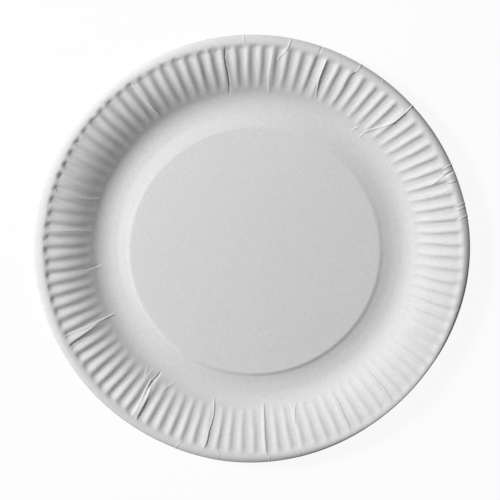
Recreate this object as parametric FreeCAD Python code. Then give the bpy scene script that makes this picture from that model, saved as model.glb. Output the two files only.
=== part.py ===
import FreeCAD
import Part
import math
import os
from FreeCAD import Vector

# A round plate pressed from one sheet of paperboard. A raised centre panel steps down to the
# foot ring that it stands on, a curved wall climbs from there to a crest, and the rim rolls
# down outside the crest. Flutes are pressed into the upper wall.
# Z points up, the axis is the plate's own axis, and the foot ring's underside lies at zero.

# Whole plate, in millimetres
plate_diameter = 230.0
board_thickness = 0.4

# Rim: the bend of its underside over the crest, from the lip's slope to that of the cut edge
rim_radius = 3.9
rim_slope = 54.0
lip_slope = 15.0
lip_width = 4.6

# Wall between the foot ring and the crest, with its slope in degrees
wall_width = 33.0
wall_slope = 40.0
cove_radius = 15.0
shoulder_radius = 35.0

# Foot ring, and the step from it up to the centre panel
foot_width = 1.6
groove_radius = 25.0
groove_slope = 15.0
step_width = 1.6
step_slope = 24.0
panel_edge_radius = 3.5

# Flutes: valleys with a flat floor and sloping sides that meet in sharp ridges
flute_count = 100
flute_depth = 1.3
flute_mouth_depth = 0.9
flute_side_slope = 33.0
flute_foot_margin = 9.6
flute_crest_margin = 1.6
flute_mouth_length = 3.0
flute_end_length = 2.2
flute_cells = 3

# Number of straight bands that each bend is laid out in
panel_edge_bands = 1
groove_bands = 2
cove_bands = 2
rim_bands = 3

# Widest gap that is closed where neighbouring faces meet
seam_tolerance = 0.001

AXIS_POINT = Vector(0, 0, 0)
AXIS = Vector(0, 0, 1)
FULL_TURN = 360.0


def bend_width(radius, slope):
    """Width of a bend that turns from level to a slope."""
    return radius * math.sin(math.radians(slope))


def bend_rise(radius, slope):
    """Height of a bend that turns from level to a slope."""
    return radius * (1 - math.cos(math.radians(slope)))


# Radii of the section, from the rim inwards
plate_radius = plate_diameter / 2
crest_radius = plate_radius - bend_width(rim_radius + board_thickness, rim_slope)
edge_radius = crest_radius + bend_width(rim_radius, rim_slope)
foot_outer_radius = crest_radius - wall_width
foot_inner_radius = foot_outer_radius - foot_width
step_radius = foot_inner_radius - bend_width(groove_radius, groove_slope)
panel_edge_end = step_radius - step_width
panel_radius = panel_edge_end - bend_width(panel_edge_radius, step_slope)
lip_end_radius = crest_radius - bend_width(rim_radius, lip_slope)
lip_start_radius = lip_end_radius - lip_width

# The wall's two bends shrink together where the wall is too narrow for them
shoulder_width = bend_width(shoulder_radius, wall_slope) - bend_width(shoulder_radius, lip_slope)
bends_width = bend_width(cove_radius, wall_slope) + shoulder_width
bend_fit = min(1.0, (lip_start_radius - foot_outer_radius) / bends_width)
cove = cove_radius * bend_fit
shoulder = shoulder_radius * bend_fit
cove_end_radius = foot_outer_radius + bend_width(cove, wall_slope)
shoulder_start_radius = lip_start_radius - shoulder_width * bend_fit

# Radius at which the shoulder's bend would be level if it went on past the lip
shoulder_top_radius = lip_start_radius + bend_width(shoulder, lip_slope)

# Heights of the section's underside
straight_wall_rise = (shoulder_start_radius - cove_end_radius) * math.tan(math.radians(wall_slope))
cove_height = bend_rise(cove, wall_slope)
shoulder_top_height = cove_height + straight_wall_rise + bend_rise(shoulder, wall_slope)
lip_start_height = shoulder_top_height - bend_rise(shoulder, lip_slope)
lip_end_height = lip_start_height + lip_width * math.tan(math.radians(lip_slope))
crest_height = lip_end_height + bend_rise(rim_radius, lip_slope)
step_height = bend_rise(groove_radius, groove_slope)
panel_edge_height = step_height + step_width * math.tan(math.radians(step_slope))
panel_height = panel_edge_height + bend_rise(panel_edge_radius, step_slope)

# Radii of the flutes, from their mouths outwards
flute_start = foot_outer_radius + flute_foot_margin
flute_open = flute_start + flute_mouth_length
flute_end = crest_radius - flute_crest_margin
flute_shut = flute_end - flute_end_length
flute_pitch = math.radians(FULL_TURN / flute_count)


def bend(distance, radius):
    """Rise and slope of a bend at a distance from the place where it is level."""
    slope = math.asin(distance / radius)
    return radius * (1 - math.cos(slope)), slope


def section(radius):
    """Height and slope of the board's underside, without flutes, at a distance from the axis."""
    if radius <= panel_radius:
        return panel_height, 0.0
    if radius <= panel_edge_end:
        drop, slope = bend(radius - panel_radius, panel_edge_radius)
        return panel_height - drop, -slope
    if radius <= step_radius:
        slope = math.radians(step_slope)
        return step_height + (step_radius - radius) * math.tan(slope), -slope
    if radius <= foot_inner_radius:
        rise, slope = bend(foot_inner_radius - radius, groove_radius)
        return rise, -slope
    if radius <= foot_outer_radius:
        return 0.0, 0.0
    if radius <= cove_end_radius:
        return bend(radius - foot_outer_radius, cove)
    if radius <= shoulder_start_radius:
        slope = math.radians(wall_slope)
        return cove_height + (radius - cove_end_radius) * math.tan(slope), slope
    if radius <= lip_start_radius:
        drop, slope = bend(shoulder_top_radius - radius, shoulder)
        return shoulder_top_height - drop, slope
    if radius <= lip_end_radius:
        slope = math.radians(lip_slope)
        return lip_start_height + (radius - lip_start_radius) * math.tan(slope), slope
    drop, slope = bend(crest_radius - radius, rim_radius)
    return crest_height - drop, slope


def board_point(radius, angle, lift):
    """Point at an angle about the axis, lifted squarely from the underside's section."""
    height, slope = section(radius)
    reach = radius - lift * math.sin(slope)
    return Vector(reach * math.cos(angle), reach * math.sin(angle), height + lift * math.cos(slope))


def spaced(start, end, count):
    """Evenly spaced values from a start to an end, both included."""
    return [start + (end - start) * step / count for step in range(count + 1)]


def revolve(start, end):
    """Face that a straight line of the section sweeps about the axis."""
    return Part.makeLine(start, end).revolve(AXIS_POINT, AXIS, FULL_TURN).Faces[0]


def bands(radii, lift):
    """Faces of revolution between neighbouring radii on one side of the board."""
    points = [board_point(radius, 0, lift) for radius in radii]
    return [revolve(start, end) for start, end in zip(points, points[1:])]


def flute_range():
    """Numbers of the flutes around the axis."""
    return range(flute_count)


def ring_point(radius, flute, lift):
    """Point on a ridge line of the given flute."""
    return board_point(radius, flute * flute_pitch, lift)


def arc_on_ridges(radius, flute, lift):
    """Arc about the axis from one ridge line to the next."""
    ends = [ring_point(radius, flute + share, lift) for share in (0, 0.5, 1)]
    return Part.Arc(*ends).toShape()


def collar_faces(circle_radius, flute_radius, lift):
    """Band between a circle and the straight ends of the flutes."""
    faces = []
    for flute in flute_range():
        start = ring_point(flute_radius, flute, lift)
        end = ring_point(flute_radius, flute + 1, lift)
        arc = arc_on_ridges(circle_radius, flute, lift)
        faces.append(Part.makeRuledSurface(arc, Part.makeLine(start, end)))
    return faces


def centre_faces(lift):
    """Centre panel, step, foot ring and the lower wall up to the flutes."""
    radii = spaced(panel_radius, panel_edge_end, panel_edge_bands)
    radii += spaced(step_radius, foot_inner_radius, groove_bands)
    radii += spaced(foot_outer_radius, flute_start, cove_bands)
    panel = revolve(Vector(0, 0, panel_height + lift), board_point(panel_radius, 0, lift))
    return [panel] + bands(radii[:-1], lift) + collar_faces(radii[-2], flute_start, lift)


def rim_faces(lift):
    """Crest and rolled rim outside the flutes."""
    radii = spaced(flute_end, edge_radius, rim_bands)
    return collar_faces(radii[1], flute_end, lift) + bands(radii[1:], lift)


def depth_at(radius):
    """Depth of a flute's floor under the ridges."""
    if radius <= flute_start or radius >= flute_end:
        return 0.0
    share = (radius - flute_open) / (flute_shut - flute_open)
    return flute_mouth_depth + share * (flute_depth - flute_mouth_depth)


def flute_line(radius, flute, lift):
    """The four corners of one flute's cross-section: ridge, floor, floor and next ridge."""
    depth = depth_at(radius)
    side_angle = depth / math.tan(math.radians(flute_side_slope)) / radius
    first = flute * flute_pitch
    last = first + flute_pitch
    return [
        board_point(radius, first, lift),
        board_point(radius, first + side_angle, lift - depth),
        board_point(radius, last - side_angle, lift - depth),
        board_point(radius, last, lift),
    ]


def flat_face(corners):
    """Flat face inside a closed line of corners."""
    return Part.Face(Part.makePolygon(corners + corners[:1]))


def flute_faces(flute, lift):
    """One flute on one side of the board: its mouth, its straight run and its end."""
    stations = spaced(flute_open, flute_shut, flute_cells)
    lines = [flute_line(radius, flute, lift) for radius in stations]
    faces = []
    for inner, outer in zip(lines, lines[1:]):
        faces.append(flat_face([inner[1], inner[2], outer[2], outer[1]]))
        for ridge, floor in ((0, 1), (3, 2)):
            faces.append(flat_face([inner[ridge], inner[floor], outer[floor]]))
            faces.append(flat_face([inner[ridge], outer[floor], outer[ridge]]))
    for radius, line in ((flute_start, lines[0]), (flute_end, lines[-1])):
        first = ring_point(radius, flute, lift)
        last = ring_point(radius, flute + 1, lift)
        faces.append(flat_face([first, line[1], line[2], last]))
        faces.append(flat_face([first, line[0], line[1]]))
        faces.append(flat_face([last, line[3], line[2]]))
    return faces


def side_faces(lift):
    """All faces of one side of the board."""
    faces = centre_faces(lift) + rim_faces(lift)
    for flute in flute_range():
        faces += flute_faces(flute, lift)
    return faces


def cut_edge_face():
    """Narrow face where the sheet was cut, square to the board."""
    return revolve(board_point(edge_radius, 0, 0), board_point(edge_radius, 0, board_thickness))


def make_plate():
    """The whole plate as one closed solid."""
    faces = side_faces(0.0) + side_faces(board_thickness) + [cut_edge_face()]
    skin = Part.makeCompound(faces)
    skin.sewShape(seam_tolerance)
    return Part.makeSolid(skin.Shells[0])


os.makedirs("parts", exist_ok=True)
plate = make_plate()
plate.exportStep("parts/plate.step")
print("volume", round(plate.Volume, 1), "closed", plate.isClosed(), "valid", plate.isValid())
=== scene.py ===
import math
from collections import namedtuple

import bpy
import numpy as np
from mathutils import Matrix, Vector


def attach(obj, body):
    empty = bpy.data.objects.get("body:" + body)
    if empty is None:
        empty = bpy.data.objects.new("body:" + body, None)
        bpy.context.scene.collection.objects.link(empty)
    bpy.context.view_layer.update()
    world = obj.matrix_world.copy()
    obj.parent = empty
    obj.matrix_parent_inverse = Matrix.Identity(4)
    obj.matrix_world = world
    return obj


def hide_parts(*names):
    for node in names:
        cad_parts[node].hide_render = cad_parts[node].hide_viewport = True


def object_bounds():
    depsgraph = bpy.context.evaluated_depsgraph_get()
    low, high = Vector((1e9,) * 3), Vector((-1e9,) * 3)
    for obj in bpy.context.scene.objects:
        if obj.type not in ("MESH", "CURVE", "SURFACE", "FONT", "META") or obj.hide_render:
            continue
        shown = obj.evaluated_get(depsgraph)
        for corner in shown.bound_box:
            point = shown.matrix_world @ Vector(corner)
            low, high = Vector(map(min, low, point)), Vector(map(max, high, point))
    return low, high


# A white paper plate seen from almost straight above, on a white floor.
# Lengths are in metres and angles in degrees, unless a comment says otherwise.
# Angles on the plate run counter-clockwise from the X axis.

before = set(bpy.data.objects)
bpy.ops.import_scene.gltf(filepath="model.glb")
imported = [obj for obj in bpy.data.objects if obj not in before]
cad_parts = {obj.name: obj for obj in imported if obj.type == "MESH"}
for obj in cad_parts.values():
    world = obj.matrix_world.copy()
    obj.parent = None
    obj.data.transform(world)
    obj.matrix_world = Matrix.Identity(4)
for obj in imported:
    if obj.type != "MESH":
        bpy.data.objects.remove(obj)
cad_low, cad_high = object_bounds()

MILLIMETRE = 0.001

# Section of the board: heights are those of its underside
plate_radius = (cad_high.x - cad_low.x) / 2
board_thickness = 0.0004
rim_radius = 0.0039
rim_slope = 54.0
lip_slope = 15.0
lip_width = 0.0046
wall_width = 0.0330
wall_slope = 40.0
cove_radius = 0.0150
shoulder_radius = 0.0350
foot_width = 0.0016

# Step from the foot ring up to the panel: steep on one side of the plate, low and wide on the
# other. Its lower bend has a radius and an end slope, then a straight run leads to the panel's
# edge, which has a radius of its own.
Step = namedtuple("Step", "groove_radius groove_slope width slope edge_radius")
steep_step = Step(0.0250, 15.3, 0.0017, 31.0, 0.0014)
low_step = Step(0.0130, 10.5, 0.0064, 10.5, 0.0035)
low_step_angle = 95.0
low_step_power = 0.5

# Width of the ring between the foot ring and the panel: the panel inside it leans as one piece
panel_margin = 0.0095

# Flutes: waves with narrow ridges and wide valleys, which deepen quickly at their mouths
flute_count = 100
flute_depth = 0.00124
flute_start_margin = 0.0097
flute_start_shift = 0.0006
flute_start_angle = 140.0
flute_growth_length = 0.0150
flute_growth_power = 0.5
flute_taper = 0.12
flute_taper_start = 0.1010
flute_unevenness = 0.10
first_ridge = 0.3
ridge_sharpness = 1.50
ridge_sharpness_change = 0.55
sharpest_ridge_angle = -10.0

# On one side the flutes deepen more slowly. The change ends at this many reaches from its
# middle angle, and is full up to one reach less.
slow_growth = 0.75
slow_growth_angle = 160.0
slow_growth_reach = 90.0
slow_growth_end = 1.3

# Where the flutes are shallower: the angle, how much shallower, and how far the change reaches
shallow_zones = [(290.0, 0.50, 62.0), (98.0, 0.15, 55.0)]
shallow_fade = 45.0

# Outer ends of the flutes, which lie nearer the crest in some directions
flute_end_margin = 0.0005
flute_close_length = 0.0032
flute_end_jitter = 0.00040
flute_end_shift = 0.00045
flute_end_angle = 60.0
flute_end_second_shift = 0.00045
flute_end_second_angle = 145.0

# The flutes crowd a little in some directions, by these angles, and wander a little
flute_drift = 0.65
flute_drift_angle = 77.5
flute_second_drift = 0.45
flute_second_drift_angle = 85.6
flute_wander = 0.010
wander_count = 8
wander_turns = (10, 60)
wander_lengths = (0.012, 0.045)

# The pressed centre lies a little off the outline's centre, and all of it lies a little farther in
# than the section's sizes say
pressed_centre = Vector((0.00136, -0.00031))
pressed_inset = 0.0008

# The upper wall is a little steeper than its slope above, which lifts the crest, on one side more
crest_lift = 0.0007
crest_lift_change = 0.4
crest_side_angle = 328.0
lift_start = 0.0930
lift_start_change = 0.0060
lift_length = 0.0120

# Zones of the cove, the crest and the rim. Each has its middle angle, the size of the change
# there, and the angle to either side at which the change ends.
cove_shifts = [(195.0, -0.0010, 50.0)]
crest_shifts = [
    (328.0, 0.0006, 50.0),
    (185.0, -0.0008, 50.0),
    (125.0, -0.0004, 60.0),
    (270.0, -0.0003, 40.0),
]
rim_insets = [(303.0, 0.0006, 55.0), (210.0, 0.0003, 40.0)]
rim_lifts = [(158.0, 0.0009, 75.0), (10.0, 0.0004, 50.0)]
cove_shift_start = 0.0680
cove_shift_end = 0.1080
rim_lift_power = 3

# The rim curls in more steeply in four directions, and most of all in one of them
curl_count = 4
curl_reach = 0.00080
curl_angle = 48.0
curl_change = 0.4
curl_power = 1.5
strongest_curl_angle = 310.0

# Slow waves in the pressed sheet
sheet_wave_height = 0.00010
sheet_wave_count = 9
sheet_wave_lengths = (0.03, 0.09)

# Short random wrinkles at the flutes' ends, where the sheet gathered most. Their sizes are in
# millimetres. The turn is the angle by which a wrinkle's outer end may lie aside.
crumple_count = 110
crumple_angles = (94, 192)
crumple_distances = (108.3, 110.8)
crumple_length = 2.4
crumple_height = 0.60
crumple_width = 0.7
crumple_turn = 1.0

# Points around the rings of the mesh: they lie closer together at the creases, up to a number of
# margins from each one. Rings farther in leave points out.
angle_count = 1152
fine_angle_count = 14400
crease_density = 2.6
crease_margin = 0.40
crease_margin_end = 1.5
coarse_step = 4
centre_step = 16
centre_rings = 2

# Rings of the mesh, from the middle outwards
panel_rings = [0.008, 0.020, 0.032, 0.044, 0.054, 0.062, 0.066]
step_ring_start = 0.0668
step_ring_end = 0.0712
step_ring_gap = 0.0003
groove_ring_start = 0.0720
groove_rings = 6
cove_rings = 6
cove_ring_margin = 0.004
mouth_rings = 8
mouth_ring_reach = 0.003
flute_rings = 14
crest_rings = 7
rim_rings = 5

# Distance over which creases rise at their ends
crease_fade = 0.0015

# Look of the board: uncoated and matt, with fine fibres and faint clouds in its tone
board_roughness = 0.85
board_shine = 0.25
dark_tone = 0.570
light_tone = 0.810
fibre_scale = 900.0
fibre_detail = 3.0
fibre_roughness = 0.65
fibre_share = 0.8
cloud_scale = 300.0
cloud_detail = 3.0
cloud_share = 0.2
bump_strength = 0.35
bump_depth = 0.00012

# Floor
floor_reach = 3.0
floor_tone = 0.8
floor_white_share = 0.93

# Camera: almost over the plate's axis, a little towards the top of the picture
image_size = 500
camera_tilt = 10.8
camera_azimuth = 95.0
camera_distance = 0.590
camera_lens = 79.5
camera_near_end = 0.01
sensor_width = 36.0
aim_height = 0.008
plate_axis_pixel = Vector((252.5, 254.1))

# Light
key_azimuth = 154.0
key_elevation = 42.5
key_distance = 1.25
key_size = 0.30
key_power = 18.6
ambient_strength = 0.06

random_seed = 7
random = np.random.default_rng(random_seed)


def bend_width(radius, slope):
    """Width of a bend that turns from level to a slope."""
    return radius * math.sin(math.radians(slope))


def bend_rise(radius, slope):
    """Height of a bend that turns from level to a slope."""
    return radius * (1 - math.cos(math.radians(slope)))


def straight_rise(width, slope):
    """Height of a straight run."""
    return width * math.tan(math.radians(slope))


# Radii and heights worked out from the section's sizes
crest_radius = plate_radius - bend_width(rim_radius + board_thickness, rim_slope)
edge_radius = crest_radius + bend_width(rim_radius, rim_slope)
foot_outer_radius = crest_radius - wall_width
foot_inner_radius = foot_outer_radius - foot_width
lip_end_radius = crest_radius - bend_width(rim_radius, lip_slope)
lip_start_radius = lip_end_radius - lip_width
shoulder_top_radius = lip_start_radius + bend_width(shoulder_radius, lip_slope)
shoulder_start_radius = shoulder_top_radius - bend_width(shoulder_radius, wall_slope)
cove_end_radius = foot_outer_radius + bend_width(cove_radius, wall_slope)
cove_height = bend_rise(cove_radius, wall_slope)
wall_top_height = cove_height + straight_rise(shoulder_start_radius - cove_end_radius, wall_slope)
shoulder_top_height = wall_top_height + bend_rise(shoulder_radius, wall_slope)
lip_start_height = shoulder_top_height - bend_rise(shoulder_radius, lip_slope)
crest_height = lip_start_height + straight_rise(lip_width, lip_slope) + bend_rise(rim_radius, lip_slope)
panel_reach = foot_inner_radius - panel_margin
flute_start = foot_outer_radius + flute_start_margin
flute_end = crest_radius - flute_end_margin

# Creases: lines pressed or folded into the sheet. Each one stands up by its height and falls off
# to either side over its two widths, in millimetres. Its path is a list of distances from the
# axis, in millimetres, with the angles there.
Crease = namedtuple("Crease", "height left right path")
creases = [
    # Fold that runs in from the edge at the upper right, and its two hooks
    Crease(0.42, 0.6, 0.8, [
        (87, 47.6), (89.2, 47.2), (92, 46.2), (95.3, 45.2), (98.5, 44.5), (103, 44.0),
    ]),
    Crease(0.50, 0.5, 0.5, [(99.5, 43.9), (104, 43.8), (110, 43.8), (115, 43.9)]),
    Crease(0.32, 0.5, 0.5, [(84, 47.0), (85.3, 47.4), (87.5, 47.6)]),
    Crease(0.30, 0.5, 0.6, [(84, 50.9), (86, 50.8), (88.5, 50.1)]),
    # Wrinkles at the right
    Crease(0.34, 0.4, 0.7, [
        (90, 19.6), (96, 19.3), (100, 19.0), (104, 18.6), (107, 18.9), (110.8, 19.8),
    ]),
    Crease(0.58, 0.5, 0.6, [(101, 21.8), (105, 22.5), (109, 23.6), (111.5, 23.9)]),
    Crease(-0.70, 0.8, 0.8, [(108.5, 22.9), (111.5, 23.3), (114.2, 23.3)]),
    Crease(0.48, 0.6, 0.6, [(107.5, 21.3), (110, 20.9), (113.8, 20.8)]),
    Crease(0.42, 0.5, 0.5, [(109, 24.9), (112, 25.2), (115, 25.1)]),
    Crease(0.46, 0.5, 0.5, [(109.5, 10.1), (112.5, 10.8), (115, 10.9)]),
    Crease(0.40, 0.5, 0.5, [(109.5, 12.9), (112.5, 13.3), (114.5, 13.2)]),
    Crease(0.38, 0.5, 0.5, [(110, 14.0), (112.7, 14.4), (115, 14.3)]),
    Crease(-0.14, 0.5, 0.4, [(113.0, 37.5), (115, 37.5)]),
    # Marks on the rim and folds in the wall at the top
    Crease(0.18, 0.4, 0.5, [(111.5, 53.2), (113, 53.9), (115, 54.3)]),
    Crease(0.34, 0.4, 0.5, [(107.5, 62.0), (108.7, 61.9), (110.3, 61.2), (112, 61.0), (115, 61.0)]),
    Crease(0.16, 0.4, 0.4, [(111, 66.9), (113, 66.8), (114.4, 66.9)]),
    Crease(0.42, 0.6, 0.7, [
        (89, 67.9), (91.5, 68.5), (95, 69.1), (99, 69.7), (104, 69.8), (109.8, 69.8),
    ]),
    Crease(-0.35, 0.4, 0.5, [(110, 72.3), (112.5, 72.2), (115, 72.0)]),
    Crease(0.34, 0.5, 0.6, [
        (102.5, 82.9), (104, 82.8), (105.3, 82.3), (108, 81.2), (110, 80.6), (114.5, 80.1),
    ]),
    Crease(0.22, 0.6, 1.2, [(86, 84.1), (91, 84.6), (95, 85.0), (100, 84.9), (108, 84.7)]),
    Crease(0.12, 0.6, 0.8, [(96, 88.7), (100, 89.0), (105, 89.3)]),
    Crease(0.22, 0.4, 0.5, [(109.5, 91.9), (112, 92.4), (115, 92.3)]),
    Crease(-0.28, 0.5, 0.6, [
        (86, 98.2), (91, 97.6), (96, 97.6), (100, 97.8), (104.5, 97.9), (107, 97.6), (110, 97.2),
    ]),
    Crease(-0.26, 0.4, 0.4, [(109.0, 104.4), (110.5, 104.7), (112, 104.9)]),
    Crease(0.22, 0.4, 0.4, [(109.2, 104.9), (110.7, 104.3), (111.8, 104.0)]),
    # Lines in the wall at the upper left
    Crease(0.26, 0.6, 0.8, [(89, 123.3), (95, 123.8), (101, 124.1), (106, 124.3), (111, 124.2)]),
    Crease(0.24, 0.5, 0.7, [
        (88, 160.2), (92, 161.0), (96, 161.3), (101, 161.6), (105, 161.1), (109, 161.1),
    ]),
    Crease(0.24, 0.5, 0.6, [(89, 172.2), (94, 171.8), (98, 172.0), (103, 172.3), (108, 172.3)]),
    Crease(-0.22, 0.6, 0.6, [(84.5, 184.3), (88, 184.9), (90, 185.3), (92, 185.2)]),
    Crease(0.20, 0.5, 0.5, [(84.5, 185.4), (87, 185.9), (89.5, 185.1)]),
    # Forked fold at the left
    Crease(0.40, 1.0, 0.6, [
        (84.5, 204.4), (88, 204.2), (94, 203.9), (98, 203.7), (104, 203.3), (110, 203.2),
    ]),
    Crease(0.34, 0.5, 1.4, [(93.5, 204.5), (97, 204.8), (101, 205.1), (105, 205.4), (110, 205.8)]),
    Crease(0.20, 0.4, 0.6, [
        (98, 207.5), (101.5, 206.8), (105, 206.5), (107, 206.8), (110.5, 207.2),
    ]),
    # Largest fold, at the lower left, with small wrinkles on either side of its foot
    Crease(0.40, 0.6, 1.5, [
        (92.5, 233.0), (94, 233.3), (97, 233.8), (100, 234.1), (105, 234.5), (110, 234.8),
    ]),
    Crease(0.46, 1.1, 0.6, [
        (89.5, 231.8), (91, 231.7), (94.5, 232.0), (97, 232.3), (100, 232.7), (105, 233.1),
        (109.5, 233.1),
    ]),
    Crease(0.20, 0.4, 0.5, [(105, 233.9), (109.5, 233.7)]),
    Crease(-0.46, 0.9, 0.7, [(84.5, 233.0), (86, 233.1), (88.5, 232.9), (91.5, 232.5), (93.5, 232.5)]),
    Crease(0.20, 0.6, 0.6, [(86.5, 227.8), (89, 228.6), (91.5, 229.4)]),
    Crease(0.16, 0.5, 0.5, [(86.5, 230.4), (89, 230.0), (91.5, 229.6)]),
    Crease(0.22, 0.7, 0.7, [(85.5, 239.7), (87.5, 238.9), (89.5, 237.9), (92.5, 236.8)]),
    # Folds and marks along the bottom
    Crease(0.24, 0.4, 0.5, [
        (108.0, 249.6), (109.5, 249.2), (111, 248.8), (112.5, 248.5), (115, 248.2),
    ]),
    Crease(0.40, 0.5, 0.9, [
        (86, 255.7), (88, 256.0), (90, 256.4), (93, 256.7), (97, 256.5), (101, 256.2),
        (104, 256.3), (107, 256.2), (110, 255.8),
    ]),
    Crease(0.18, 0.4, 0.4, [(107.5, 259.5), (109, 259.8), (111, 260.3), (114.5, 260.4)]),
    Crease(0.34, 0.5, 1.6, [
        (85.5, 274.3), (92, 274.1), (98, 273.9), (103, 273.8), (107, 273.9), (111, 274.2),
    ]),
    Crease(0.20, 0.4, 0.4, [(109.5, 274.3), (112, 274.7), (115, 274.6)]),
    Crease(0.28, 0.6, 0.5, [(87.5, 286.2), (89.5, 285.4), (91.5, 284.8), (94, 284.2), (98, 283.7)]),
    Crease(0.18, 0.4, 0.4, [(110, 283.3), (115, 283.0)]),
    Crease(0.20, 0.6, 0.6, [(92, 299.7), (98, 299.6), (105, 299.2), (109, 299.1)]),
    Crease(0.12, 0.5, 0.6, [(106.5, 300.1), (110.5, 300.9)]),
    Crease(0.34, 0.5, 0.7, [
        (90, 314.0), (94, 314.2), (97, 314.0), (102, 314.2), (105, 313.8), (109.5, 313.6),
    ]),
    Crease(0.14, 0.5, 0.5, [(105.5, 332.7), (108.5, 332.5), (112.5, 332.0)]),
]


def smooth(share):
    """Soft step from 0 to 1 for shares from 0 to 1."""
    share = np.clip(share, 0, 1)
    return share * share * (3 - 2 * share)


def swing(angle, peak, turns=1):
    """Wave between -1 and 1 around the plate, highest at its peak, with a number of turns."""
    return np.cos(turns * np.radians(angle - peak))


def angle_between(angle, centre):
    """Difference of two angles in degrees, between -180 and 180."""
    return (angle - centre + 180) % 360 - 180


def zone_change(angle, zones):
    """Sum of the changes that zones around the plate make."""
    change = 0
    for middle, size, reach in zones:
        change = change + size * smooth(1 - np.abs(angle_between(angle, middle)) / reach)
    return change


def bend(distance, radius):
    """Rises and slopes of a bend at an array of distances from the place where it is level."""
    slope = np.arcsin(np.clip(distance / radius, -1, 1))
    return radius * (1 - np.cos(slope)), slope


def straight(distance, slope):
    """Rises and slopes of a straight run at an array of distances from its lower end."""
    return straight_rise(distance, slope), np.full_like(distance, math.radians(slope))


def joined(radius, zones):
    """Heights and slopes from zones, each with its outer radius, its heights and its slopes."""
    inside = [radius <= limit for limit, height, slope in zones]
    height = np.select(inside, [height for limit, height, slope in zones])
    slope = np.select(inside, [slope for limit, height, slope in zones])
    return height, slope


def step_section(radius, step):
    """Heights and slopes of the underside inside the foot ring, for one kind of step."""
    step_radius = foot_inner_radius - bend_width(step.groove_radius, step.groove_slope)
    edge_end = step_radius - step.width
    panel_radius = edge_end - bend_width(step.edge_radius, step.slope)
    step_height = bend_rise(step.groove_radius, step.groove_slope)
    edge_height = step_height + straight_rise(step.width, step.slope)
    panel_height = edge_height + bend_rise(step.edge_radius, step.slope)
    panel_edge = bend(radius - panel_radius, step.edge_radius)
    straight_run = straight(step_radius - radius, step.slope)
    groove = bend(foot_inner_radius - radius, step.groove_radius)
    level = np.zeros_like(radius)
    return joined(radius, [
        (panel_radius, panel_height + level, level),
        (edge_end, panel_height - panel_edge[0], -panel_edge[1]),
        (step_radius, step_height + straight_run[0], -straight_run[1]),
        (math.inf, groove[0], -groove[1]),
    ])


def wall_section(radius):
    """Heights and slopes of the underside from the foot ring to the cut edge."""
    cove = bend(radius - foot_outer_radius, cove_radius)
    wall = straight(radius - cove_end_radius, wall_slope)
    shoulder = bend(shoulder_top_radius - radius, shoulder_radius)
    lip = straight(radius - lip_start_radius, lip_slope)
    rim = bend(crest_radius - radius, rim_radius)
    level = np.zeros_like(radius)
    return joined(radius, [
        (foot_outer_radius, level, level),
        (cove_end_radius, cove[0], cove[1]),
        (shoulder_start_radius, cove_height + wall[0], wall[1]),
        (lip_start_radius, shoulder_top_height - shoulder[0], shoulder[1]),
        (lip_end_radius, lip_start_height + lip[0], lip[1]),
        (math.inf, crest_height - rim[0], rim[1]),
    ])


def section(radius, angle):
    """Heights and slopes of the underside, without flutes and creases."""
    low = ((1 + swing(angle, low_step_angle)) / 2) ** low_step_power
    share = 0.5 + (low - 0.5) * np.clip(radius / panel_reach, 0, 1)
    steep_side = step_section(radius, steep_step)
    low_side = step_section(radius, low_step)
    inside = [a + (b - a) * share for a, b in zip(steep_side, low_side)]
    outside = wall_section(radius)
    return [np.where(radius < foot_inner_radius, a, b) for a, b in zip(inside, outside)]


def rim_share(radius):
    """Share of the way from the crest to the cut edge."""
    return np.clip((radius - crest_radius) / (edge_radius - crest_radius), 0, 1)


def curl_shift(radius, angle):
    """How far inwards the rim is drawn where it curls in more steeply."""
    lobes = (1 + swing(angle, curl_angle, curl_count)) / 2
    change = 1 + curl_change * swing(angle, strongest_curl_angle)
    drawn = curl_reach * lobes * change + zone_change(angle, rim_insets)
    return drawn * rim_share(radius) ** curl_power


def pressed_shift(radius, angle):
    """How far outwards the pressing moved the section's points."""
    turn = np.radians(angle)
    centre = pressed_centre.x * np.cos(turn) + pressed_centre.y * np.sin(turn) - pressed_inset
    centring = np.interp(radius, [0, panel_reach, foot_outer_radius, crest_radius], [0, 1, 1, 0])
    at_crest = np.interp(radius, [lip_start_radius, crest_radius, edge_radius], [0, 1, 0])
    at_cove = smooth((radius - cove_shift_start) / (foot_inner_radius - cove_shift_start))
    at_cove *= smooth((cove_shift_end - radius) / (cove_shift_end - foot_inner_radius))
    zones = zone_change(angle, crest_shifts) * at_crest + zone_change(angle, cove_shifts) * at_cove
    return centre * centring + zones - curl_shift(radius, angle)


def crest_rise(radius, angle):
    """How far the steeper upper wall lifts the crest, and the rim where it lies flatter."""
    side = swing(angle, crest_side_angle)
    start = lift_start + lift_start_change * (1 + side) / 2
    wall_rise = crest_lift * (1 + crest_lift_change * side) * smooth((radius - start) / lift_length)
    return wall_rise + zone_change(angle, rim_lifts) * rim_share(radius) ** rim_lift_power


def flute_place(radius, angle):
    """Position along the row of flutes, counted in flutes: whole numbers lie on ridges."""
    drift = flute_drift * swing(angle, flute_drift_angle)
    drift += flute_second_drift * swing(angle, flute_second_drift_angle, 2)
    place = (angle - first_ridge - drift) / 360 % 1 * flute_count
    for turns, length, phase in wander_list:
        place += flute_wander * np.sin(turns * np.radians(angle) + radius / length * 2 * math.pi + phase)
    return place


def flute_end_radius(angle):
    """Distances from the axis at which the flutes end, before each one's own difference."""
    shift = flute_end_shift * swing(angle, flute_end_angle)
    shift += flute_end_second_shift * swing(angle, flute_end_second_angle, 2)
    return flute_end + shift


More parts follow.
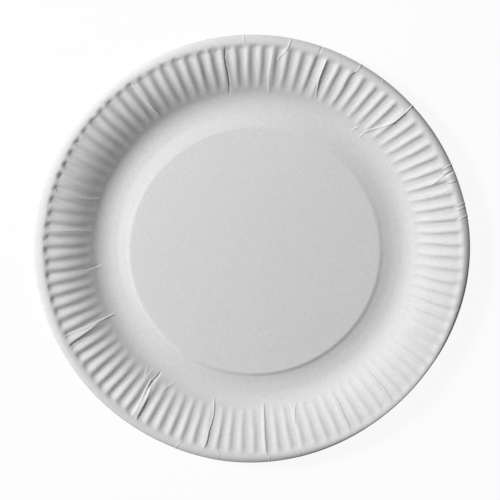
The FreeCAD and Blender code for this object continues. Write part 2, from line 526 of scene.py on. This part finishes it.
def flute_growth(radius, angle):
    """Share of their depth that the flutes have between their mouths and their outer ends."""
    start = flute_start + flute_start_shift * swing(angle, flute_start_angle)
    away = np.abs(angle_between(angle, slow_growth_angle))
    slow_side = smooth(slow_growth_end - away / slow_growth_reach)
    power = flute_growth_power * (1 + slow_growth * slow_side)
    growth = np.clip((radius - start) / flute_growth_length, 0, 1) ** power
    taper = smooth((radius - flute_taper_start) / (flute_end - flute_taper_start))
    return growth * (1 - flute_taper * taper)


def flute_relief(radius, angle):
    """How far the flutes sink below their ridges."""
    place = flute_place(radius, angle)
    number = np.floor(place).astype(int) % flute_count
    sharpness = ridge_sharpness + ridge_sharpness_change * swing(angle, sharpest_ridge_angle)
    wave = 1 - np.abs(np.cos(math.pi * place)) ** (2 * sharpness)
    end = flute_end_radius(angle) + end_jitter[number]
    closing = smooth((end - radius) / flute_close_length)
    depth = flute_depth * flute_strength[number]
    for middle, share, reach in shallow_zones:
        nearness = reach - np.abs(angle_between(angle, middle))
        depth = depth * (1 - share * smooth(nearness / shallow_fade))
    return depth * wave * flute_growth(radius, angle) * closing


def crease_centre(crease, radius):
    """Angles of a crease's line at an array of distances from the axis."""
    distances, angles = zip(*crease.path)
    return np.interp(radius, np.array(distances) * MILLIMETRE, angles)


def crease_relief(radius, angle):
    """Height of the creases above the sheet around them."""
    relief = np.zeros_like(radius)
    for crease in creases + crumples:
        aside = np.radians(angle_between(angle, crease_centre(crease, radius))) * radius
        width = np.where(aside > 0, crease.left, crease.right) * MILLIMETRE
        shape = np.clip(1 - np.abs(aside) / width, 0, 1)
        inner, outer = (crease.path[end][0] * MILLIMETRE for end in (0, -1))
        fade = smooth((radius - inner) / crease_fade)
        if outer < edge_radius:
            fade = fade * smooth((outer - radius) / crease_fade)
        relief += crease.height * MILLIMETRE * shape * fade
    return relief


def sheet_waves(radius, angle):
    """Slow, uneven waves that the whole sheet has."""
    relief = np.zeros_like(radius)
    for direction, phase, length in wave_list:
        relief += np.sin(radius * swing(angle, direction) / length * 2 * math.pi + phase)
    return relief * sheet_wave_height / math.sqrt(sheet_wave_count)


def random_phase():
    """Random place within one wave, as an angle in radians."""
    return random.uniform(0, 2 * math.pi)


def random_wave():
    """Direction, phase and length of one slow wave of the sheet."""
    return random.uniform(0, 360), random_phase(), random.uniform(*sheet_wave_lengths)


def random_crumple():
    """One short wrinkle at the flutes' ends."""
    angle = random.uniform(*crumple_angles)
    distance = random.uniform(*crumple_distances)
    end_angle = angle + random.uniform(-crumple_turn, crumple_turn)
    path = [(distance - crumple_length / 2, angle), (distance + crumple_length / 2, end_angle)]
    return Crease(crumple_height * random.uniform(-1, 1), crumple_width, crumple_width, path)


def random_wander():
    """Waves a turn, length along the flutes and phase of one way in which the flutes wander."""
    return random.integers(*wander_turns), random.uniform(*wander_lengths), random_phase()


flute_strength = 1 + flute_unevenness * random.uniform(-1, 1, flute_count)
end_jitter = flute_end_jitter * random.uniform(-1, 1, flute_count)
wave_list = [random_wave() for wave in range(sheet_wave_count)]
crumples = [random_crumple() for wrinkle in range(crumple_count)]
wander_list = [random_wander() for wave in range(wander_count)]


def spread_angles(radius):
    """Angles around one ring of the mesh, closer together where creases cross it."""
    fine = np.linspace(0, 360, fine_angle_count + 1)
    density = np.ones_like(fine)
    for crease in creases:
        away = np.abs(angle_between(fine, crease_centre(crease, radius)))
        density += crease_density * smooth(crease_margin_end - away / crease_margin)
    total = np.concatenate([[0], np.cumsum((density[1:] + density[:-1]) / 2)])
    return np.interp(np.arange(angle_count) / angle_count * total[-1], total, fine)


def radii_after(start, end, count):
    """Evenly spaced distances from the axis after a start, up to an end."""
    return list(np.linspace(start, end, count + 1)[1:])


def coarse_radii():
    """Distances of the rings from the axis, from the middle to below the flutes."""
    radii = panel_rings + list(np.arange(step_ring_start, step_ring_end, step_ring_gap))
    radii += list(np.linspace(groove_ring_start, foot_inner_radius, groove_rings))
    return radii + radii_after(foot_inner_radius, flute_start - cove_ring_margin, cove_rings)


def fine_radii():
    """Distances of the rings from the axis, from the flutes' mouths to the cut edge."""
    mouth_end = flute_start + mouth_ring_reach
    radii = list(np.linspace(flute_start - mouth_ring_reach, mouth_end, mouth_rings))
    radii += radii_after(mouth_end, flute_end - flute_close_length, flute_rings)
    radii += radii_after(flute_end - flute_close_length, crest_radius, crest_rings)
    return radii + radii_after(crest_radius, edge_radius, rim_rings)


def mesh_rings():
    """Distance from the axis and angles of every ring of points."""
    coarse = coarse_radii()
    rings = [(radius, spread_angles(radius)[::centre_step]) for radius in coarse[:centre_rings]]
    rings += [(radius, spread_angles(radius)[::coarse_step]) for radius in coarse[centre_rings:]]
    return rings + [(radius, spread_angles(radius)) for radius in fine_radii()]


def ring_points(radius, angle, lift):
    """Places of one ring of points, lifted squarely from the section."""
    height, slope = section(radius, angle)
    reach = radius + pressed_shift(radius, angle) - lift * np.sin(slope)
    turn = np.radians(angle)
    height = height + crest_rise(radius, angle) + lift * np.cos(slope)
    return np.stack([reach * np.cos(turn), reach * np.sin(turn), height], axis=1)


def side_points(rings, thickness):
    """All points of one side of the board, ring by ring, after its middle point."""
    points = [ring_points(np.array([0.0]), np.array([0.0]), np.array([thickness]))]
    for radius, angles in rings:
        radii = np.full_like(angles, radius)
        lift = thickness - flute_relief(radii, angles) + crease_relief(radii, angles)
        lift += sheet_waves(radii, angles) * smooth(radii / foot_inner_radius)
        points.append(ring_points(radii, angles, lift))
    return np.concatenate(points)


def joining_faces(near, far, line):
    """Faces between two neighbouring points of a ring and the line of points across from them."""
    if len(line) == 2:
        return [(near, line[0], line[1], far)]
    middle = (len(line) - 1) // 2
    near_faces = [(near, a, b) for a, b in zip(line[:middle], line[1:])]
    far_faces = [(far, a, b) for a, b in zip(line[middle:], line[middle + 1:])]
    return near_faces + [(near, line[middle], far)] + far_faces


def side_faces(counts, middle):
    """Faces of one side of the board, whose rings may have different numbers of points."""
    start = middle + 1
    faces = [(middle, start + step, start + (step + 1) % counts[0]) for step in range(counts[0])]
    for inner, outer in zip(counts, counts[1:]):
        next_start = start + inner
        ratio = outer // inner
        for step in range(inner):
            line = [next_start + (step * ratio + share) % outer for share in range(ratio + 1)]
            faces += joining_faces(start + step, start + (step + 1) % inner, line)
        start = next_start
    return faces


def cut_edge_faces(top, under):
    """Faces of the cut edge, between the outermost rings of the two sides."""
    faces = []
    for step in range(angle_count):
        after = (step + 1) % angle_count
        faces.append((top + step, under + step, under + after, top + after))
    return faces


def sharpen_ring(mesh, first):
    """Keeps one border of the cut edge sharp."""
    border = range(first, first + angle_count)
    for line in mesh.edges:
        if all(point in border for point in line.vertices):
            line.use_edge_sharp = True


def make_board():
    """The pressed sheet as one closed mesh: top, underside and cut edge."""
    rings = mesh_rings()
    counts = [len(angles) for radius, angles in rings]
    top = side_points(rings, board_thickness)
    under = side_points(rings, 0.0)
    lowest = under[:, 2].min()
    top[:, 2] -= lowest
    under[:, 2] -= lowest
    top_edge = len(top) - angle_count
    under_edge = top_edge + len(top)
    faces = side_faces(counts, 0)
    faces += [face[::-1] for face in side_faces(counts, len(top))]
    faces += cut_edge_faces(top_edge, under_edge)
    mesh = bpy.data.meshes.new("plate_board")
    mesh.from_pydata(np.concatenate([top, under]).tolist(), [], faces)
    mesh.shade_smooth()
    sharpen_ring(mesh, top_edge)
    sharpen_ring(mesh, under_edge)
    board = bpy.data.objects.new("plate_board", mesh)
    bpy.context.collection.objects.link(board)
    return board


def node(material, kind, **settings):
    """New shader node with its settings."""
    made = material.node_tree.nodes.new(kind)
    for name, value in settings.items():
        setattr(made, name, value)
    return made


def maths(material, operation, *terms):
    """Value worked out from other nodes' values and plain numbers."""
    made = node(material, "ShaderNodeMath", operation=operation)
    for socket, term in zip(made.inputs, terms):
        if isinstance(term, float):
            socket.default_value = term
        else:
            material.node_tree.links.new(term, socket)
    return made.outputs["Value"]


def noise(material, place, scale, detail):
    """Cloudy pattern that is fixed to the board."""
    made = node(material, "ShaderNodeTexNoise")
    made.inputs["Scale"].default_value = scale
    made.inputs["Detail"].default_value = detail
    material.node_tree.links.new(place.outputs["Object"], made.inputs["Vector"])
    return made


def paper_material():
    """Uncoated white board: matt, with fine fibres and a faintly cloudy tone."""
    material = bpy.data.materials.new("white_paperboard")
    material.use_nodes = True
    links = material.node_tree.links
    shader = material.node_tree.nodes["Principled BSDF"]
    shader.inputs["Roughness"].default_value = board_roughness
    shader.inputs["Specular IOR Level"].default_value = board_shine

    place = node(material, "ShaderNodeTexCoord")
    fibres = noise(material, place, fibre_scale, fibre_detail)
    fibres.inputs["Roughness"].default_value = fibre_roughness
    clouds = noise(material, place, cloud_scale, cloud_detail)
    fibre_part = maths(material, "MULTIPLY", fibres.outputs["Fac"], fibre_share)
    blend = maths(material, "MULTIPLY_ADD", clouds.outputs["Fac"], cloud_share, fibre_part)

    tone = node(material, "ShaderNodeMix", data_type="RGBA")
    tone.inputs["A"].default_value = (dark_tone, dark_tone, dark_tone, 1)
    tone.inputs["B"].default_value = (light_tone, light_tone, light_tone, 1)
    links.new(blend, tone.inputs["Factor"])
    links.new(tone.outputs["Result"], shader.inputs["Base Color"])

    bump = node(material, "ShaderNodeBump")
    bump.inputs["Strength"].default_value = bump_strength
    bump.inputs["Distance"].default_value = bump_depth
    links.new(blend, bump.inputs["Height"])
    links.new(bump.outputs["Normal"], shader.inputs["Normal"])
    return material


def floor_material():
    """White ground: seen by the camera it is nearly its own white, with the plate's shadow kept."""
    material = bpy.data.materials.new("white_floor")
    material.use_nodes = True
    nodes, links = material.node_tree.nodes, material.node_tree.links
    nodes.remove(nodes["Principled BSDF"])
    ground = node(material, "ShaderNodeBsdfDiffuse")
    ground.inputs["Color"].default_value = (floor_tone, floor_tone, floor_tone, 1)
    glow = node(material, "ShaderNodeEmission")
    glow.inputs["Strength"].default_value = 1.0

    path = node(material, "ShaderNodeLightPath").outputs
    seen = maths(material, "MAXIMUM", path["Is Camera Ray"], path["Is Glossy Ray"])
    seen = maths(material, "MAXIMUM", seen, path["Is Transmission Ray"])
    share = maths(material, "MULTIPLY", seen, floor_white_share)
    mix = node(material, "ShaderNodeMixShader")
    links.new(share, mix.inputs["Fac"])
    links.new(ground.outputs["BSDF"], mix.inputs[1])
    links.new(glow.outputs["Emission"], mix.inputs[2])
    links.new(mix.outputs["Shader"], nodes["Material Output"].inputs["Surface"])
    return material


def make_floor():
    """Level white ground that the plate stands on."""
    mesh = bpy.data.meshes.new("floor")
    sides = [(-1, -1), (1, -1), (1, 1), (-1, 1)]
    corners = [(x * floor_reach, y * floor_reach, 0) for x, y in sides]
    mesh.from_pydata(corners, [], [(0, 1, 2, 3)])
    floor = bpy.data.objects.new("floor", mesh)
    floor.data.materials.append(floor_material())
    bpy.context.collection.objects.link(floor)
    return floor


def direction(azimuth, elevation):
    """Unit vector towards a place given by its angle about the axis and its angle above the floor."""
    turn, rise = math.radians(azimuth), math.radians(elevation)
    return Vector((math.cos(turn) * math.cos(rise), math.sin(turn) * math.cos(rise), math.sin(rise)))


def make_key_light():
    """Round lamp at the upper left, aimed at the plate's middle."""
    light = bpy.data.lights.new("key", "AREA")
    light.shape = "DISK"
    light.size = key_size
    light.energy = key_power
    lamp = bpy.data.objects.new("key", light)
    towards = direction(key_azimuth, key_elevation)
    lamp.location = towards * key_distance
    lamp.rotation_euler = towards.to_track_quat("Z", "Y").to_euler()
    bpy.context.collection.objects.link(lamp)


def make_world():
    """Dim even light on the object, and a white surround where the camera looks past the floor."""
    world = bpy.data.worlds.new("studio")
    world.use_nodes = True
    bpy.context.scene.world = world
    nodes, links = world.node_tree.nodes, world.node_tree.links
    surround = nodes["Background"]
    surround.inputs["Color"].default_value = (1, 1, 1, 1)
    path = nodes.new("ShaderNodeLightPath")
    level = nodes.new("ShaderNodeMix")
    level.inputs["A"].default_value = ambient_strength
    level.inputs["B"].default_value = 1.0
    links.new(path.outputs["Is Camera Ray"], level.inputs["Factor"])
    links.new(level.outputs["Result"], surround.inputs["Strength"])


def make_camera():
    """Long lens, tilted a little from straight above, with the picture's top along Y."""
    data = bpy.data.cameras.new("camera")
    data.lens = camera_lens
    data.sensor_width = sensor_width
    data.clip_start = camera_near_end
    offset = plate_axis_pixel - Vector((image_size / 2, image_size / 2))
    data.shift_x = -offset.x / image_size
    data.shift_y = offset.y / image_size
    camera = bpy.data.objects.new("camera", data)
    back = direction(camera_azimuth, 90 - camera_tilt)
    camera.location = Vector((0, 0, aim_height)) + back * camera_distance
    right = Vector((0, 1, 0)).cross(back).normalized()
    up = back.cross(right)
    turn = camera.rotation_euler.to_matrix()
    turn.col[0], turn.col[1], turn.col[2] = right, up, back
    camera.rotation_euler = turn.to_euler()
    bpy.context.collection.objects.link(camera)
    bpy.context.scene.camera = camera


board = make_board()
board.data.materials.append(paper_material())
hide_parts("plate")
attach(board, "root")

floor = make_floor()
make_key_light()
make_world()
make_camera()
bpy.context.scene.view_settings.view_transform = "Standard"
